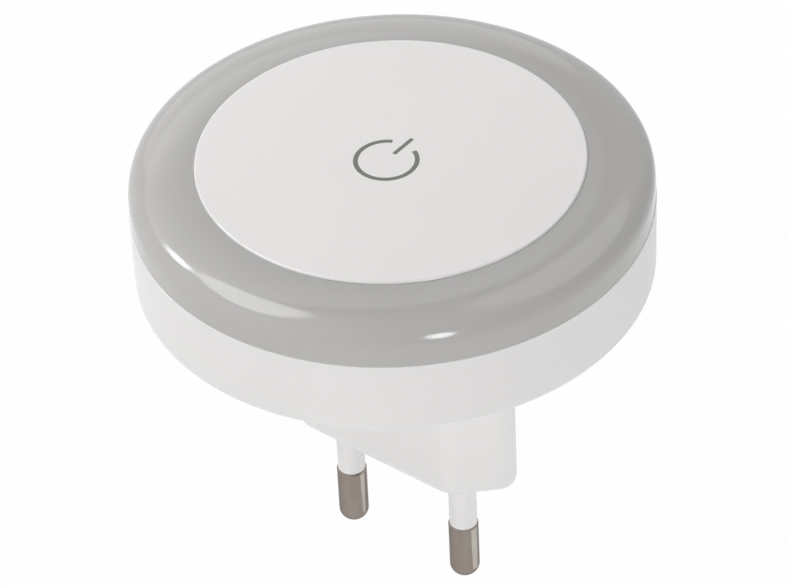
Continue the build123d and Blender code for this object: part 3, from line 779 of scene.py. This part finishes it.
def upward(tree, below):
    """Factor that is 1 on faces that look up and lie under a height, and 0 elsewhere."""
    place = tree.nodes.new("ShaderNodeTexCoord")
    factors = []
    tests = (("Normal", "GREATER_THAN", UPWARD_FROM), ("Object", "LESS_THAN", below * MM))
    for output, sense, limit in tests:
        split = tree.nodes.new("ShaderNodeSeparateXYZ")
        test = tree.nodes.new("ShaderNodeMath")
        test.operation = sense
        test.inputs[1].default_value = limit
        tree.links.new(place.outputs[output], split.inputs["Vector"])
        tree.links.new(split.outputs["Z"], test.inputs[0])
        factors.append(test.outputs["Value"])
    both = tree.nodes.new("ShaderNodeMath")
    both.operation = "MULTIPLY"
    tree.links.new(factors[0], both.inputs[0])
    tree.links.new(factors[1], both.inputs[1])
    return both.outputs["Value"]


def package():
    """LED package: white, with yellow phosphor in the recess of its top, on the faces that look up
    from under three quarters of its height."""
    material = moulded("led_package")
    low, high = (corner.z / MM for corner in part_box("leds"))
    repainted(material, upward(material.node_tree, (low + 3 * high) / 4), PHOSPHOR)
    return material


def can():
    """Electrolytic capacitor: dark sleeve round an aluminium can, whose scored top is bare."""
    material = moulded("capacitor_can")
    tree = material.node_tree
    bare = upward(tree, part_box("smoothing_capacitor")[1].z / MM + ABOVE_CAN)
    repainted(material, bare, ALUMINIUM)
    tree.links.new(bare, tree.nodes["Principled BSDF"].inputs["Metallic"])
    return material


def dress(materials):
    """Puts materials on the CAD nodes that stay, by material."""
    for material, nodes in materials:
        for node in nodes:
            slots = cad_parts[node].data.materials
            slots.clear()
            slots.append(material)


def make_camera():
    """The photograph's camera, placed by its tilt, turn and roll about the plug's axis."""
    tilt, roll = math.radians(CAMERA_TILT), math.radians(CAMERA_ROLL)
    back = Vector((0, -math.cos(tilt), math.sin(tilt)))
    level = Vector((1, 0, 0))
    upright = Vector((0, math.sin(tilt), math.cos(tilt)))
    right = math.cos(roll) * level + math.sin(roll) * upright
    up = math.cos(roll) * upright - math.sin(roll) * level
    place = CAMERA_DISTANCE * back - TARGET_RIGHT * right - TARGET_UP * up
    axes = Matrix((right, up, back)).transposed().to_4x4()
    camera = bpy.data.cameras.new("photo_camera")
    camera.sensor_width = SENSOR
    camera.lens = FOCAL_PIXELS * SENSOR / IMAGE_WIDTH
    camera.clip_start = CLIP_NEAR * MM
    camera.clip_end = CLIP_FAR * MM
    holder = bpy.data.objects.new("photo_camera", camera)
    bpy.context.scene.collection.objects.link(holder)
    turn = Matrix.Rotation(math.radians(CAMERA_TURN), 4, "Z")
    holder.matrix_world = turn @ Matrix.Translation(place * MM) @ axes
    bpy.context.scene.camera = holder


def lamp(name, direction, angles, radiance, in_gloss, distance=LAMP_DISTANCE, aim_z=ring_high.z):
    """A soft lamp that looks at a height on the axis and fills the given angles from there."""
    across, along = (2 * distance * MM * math.tan(math.radians(angle) / 2) for angle in angles[:2])
    light = bpy.data.lights.new(name, "AREA")
    light.shape = "ELLIPSE"
    light.size = across
    light.size_y = along
    light.energy = radiance * math.pi * (math.pi / 4 * across * along)
    holder = bpy.data.objects.new(name, light)
    bpy.context.scene.collection.objects.link(holder)
    away = turned(*direction).normalized()
    holder.location = (Vector((0, 0, aim_z)) + distance * away) * MM
    holder.rotation_mode = "QUATERNION"
    lean = Quaternion((0, 0, 1), math.radians(angles[2]))
    holder.rotation_quaternion = away.to_track_quat("Z", "Y") @ lean
    holder.visible_camera = False
    holder.visible_glossy = in_gloss
    return light


def seen_or(tree, unseen, seen):
    """A value that is seen for camera, glossy and transmission rays, and unseen for the others."""
    path = tree.nodes.new("ShaderNodeLightPath")
    total = path.outputs["Is Camera Ray"]
    for kind in ("Is Glossy Ray", "Is Transmission Ray"):
        node = tree.nodes.new("ShaderNodeMath")
        node.operation = "MAXIMUM"
        tree.links.new(total, node.inputs[0])
        tree.links.new(path.outputs[kind], node.inputs[1])
        total = node.outputs[0]
    pick = tree.nodes.new("ShaderNodeMapRange")
    pick.inputs["To Min"].default_value = unseen
    pick.inputs["To Max"].default_value = seen
    tree.links.new(total, pick.inputs["Value"])
    return pick.outputs["Result"]


def make_world():
    """Even studio light, which cameras, mirrors and glass see as a plain white background."""
    world = bpy.data.worlds.new("studio")
    bpy.context.scene.world = world
    world.use_nodes = True
    tree = world.node_tree
    background = tree.nodes["Background"]
    background.inputs["Color"].default_value = (1, 1, 1, 1)
    strength = seen_or(tree, WORLD_LIGHT, WORLD_SEEN)
    tree.links.new(strength, background.inputs["Strength"])


def make_floor():
    """Pale floor under the pins, seen almost white with the object's shadow, clear from below."""
    bm = bmesh.new()
    half = FLOOR_HALF * MM
    corners = [(-half, -half), (half, -half), (half, half), (-half, half)]
    bm.faces.new([bm.verts.new((x, y, (floor_z - FLOOR_DROP) * MM)) for x, y in corners])
    mesh = bpy.data.meshes.new("floor")
    bm.to_mesh(mesh)
    bm.free()
    floor = bpy.data.objects.new("floor", mesh)
    bpy.context.scene.collection.objects.link(floor)
    material = bpy.data.materials.new("studio_floor")
    material.use_nodes = True
    tree = material.node_tree
    tree.nodes.clear()
    diffuse = tree.nodes.new("ShaderNodeBsdfDiffuse")
    diffuse.inputs["Color"].default_value = (FLOOR_WHITE, FLOOR_WHITE, FLOOR_WHITE, 1)
    white = tree.nodes.new("ShaderNodeEmission")
    mix = tree.nodes.new("ShaderNodeMixShader")
    side = tree.nodes.new("ShaderNodeNewGeometry")
    clear = tree.nodes.new("ShaderNodeBsdfTransparent")
    one_way = tree.nodes.new("ShaderNodeMixShader")
    surface = tree.nodes.new("ShaderNodeOutputMaterial")
    tree.links.new(seen_or(tree, 0.0, FLOOR_SEEN), mix.inputs["Fac"])
    tree.links.new(diffuse.outputs[0], mix.inputs[1])
    tree.links.new(white.outputs[0], mix.inputs[2])
    tree.links.new(side.outputs["Backfacing"], one_way.inputs["Fac"])
    tree.links.new(mix.outputs[0], one_way.inputs[1])
    tree.links.new(clear.outputs[0], one_way.inputs[2])
    tree.links.new(one_way.outputs[0], surface.inputs["Surface"])
    mesh.materials.append(material)


white_housing = moulded("white_housing")
opal_diffuser = opal()
white_cap = satin()
white_sleeve = moulded("white_sleeve")
white_inner = moulded("white_inner")
nickel_pin = nickel()
sign_print = moulded("sign_print")
dress((
    (white_inner, ("reflector", "pin_clamp")),
    (board("white_board", WHITE_COPPER), ("led_board",)),
    (package(), ("leds",)),
    (zinc(), ("board_screws", "clamp_screw", "switch_cover")),
    (
        moulded("black_plastic"),
        ("switch_base", "switch_plunger", "control_chip", "bridge_rectifier"),
    ),
    (moulded("chip_ceramic"), ("chip_resistors",)),
    (board("power_board", GREEN_COPPER), ("power_board",)),
    (moulded("capacitor_box"), ("film_capacitor",)),
    (can(), ("smoothing_capacitor",)),
    (moulded("fuse_body"), ("fuse_resistor",)),
    (moulded("red_wire"), ("link_wire_red",)),
    (moulded("black_wire"), ("link_wire_black",)),
))

make_base()
make_ring()
make_cap()
make_sign()
for side, name in ((-1, "left"), (1, "right")):
    make_pin(side, name)
    make_sleeve(side, name)

bpy.context.scene.view_settings.view_transform = "Standard"
make_camera()
make_world()
make_floor()
for facts in LAMPS:
    lamp(*facts)
stripe = lamp(*PIN_STRIPE, STRIPE_DISTANCE, sleeve_low.z)
stripe.color = STRIPE_TINT
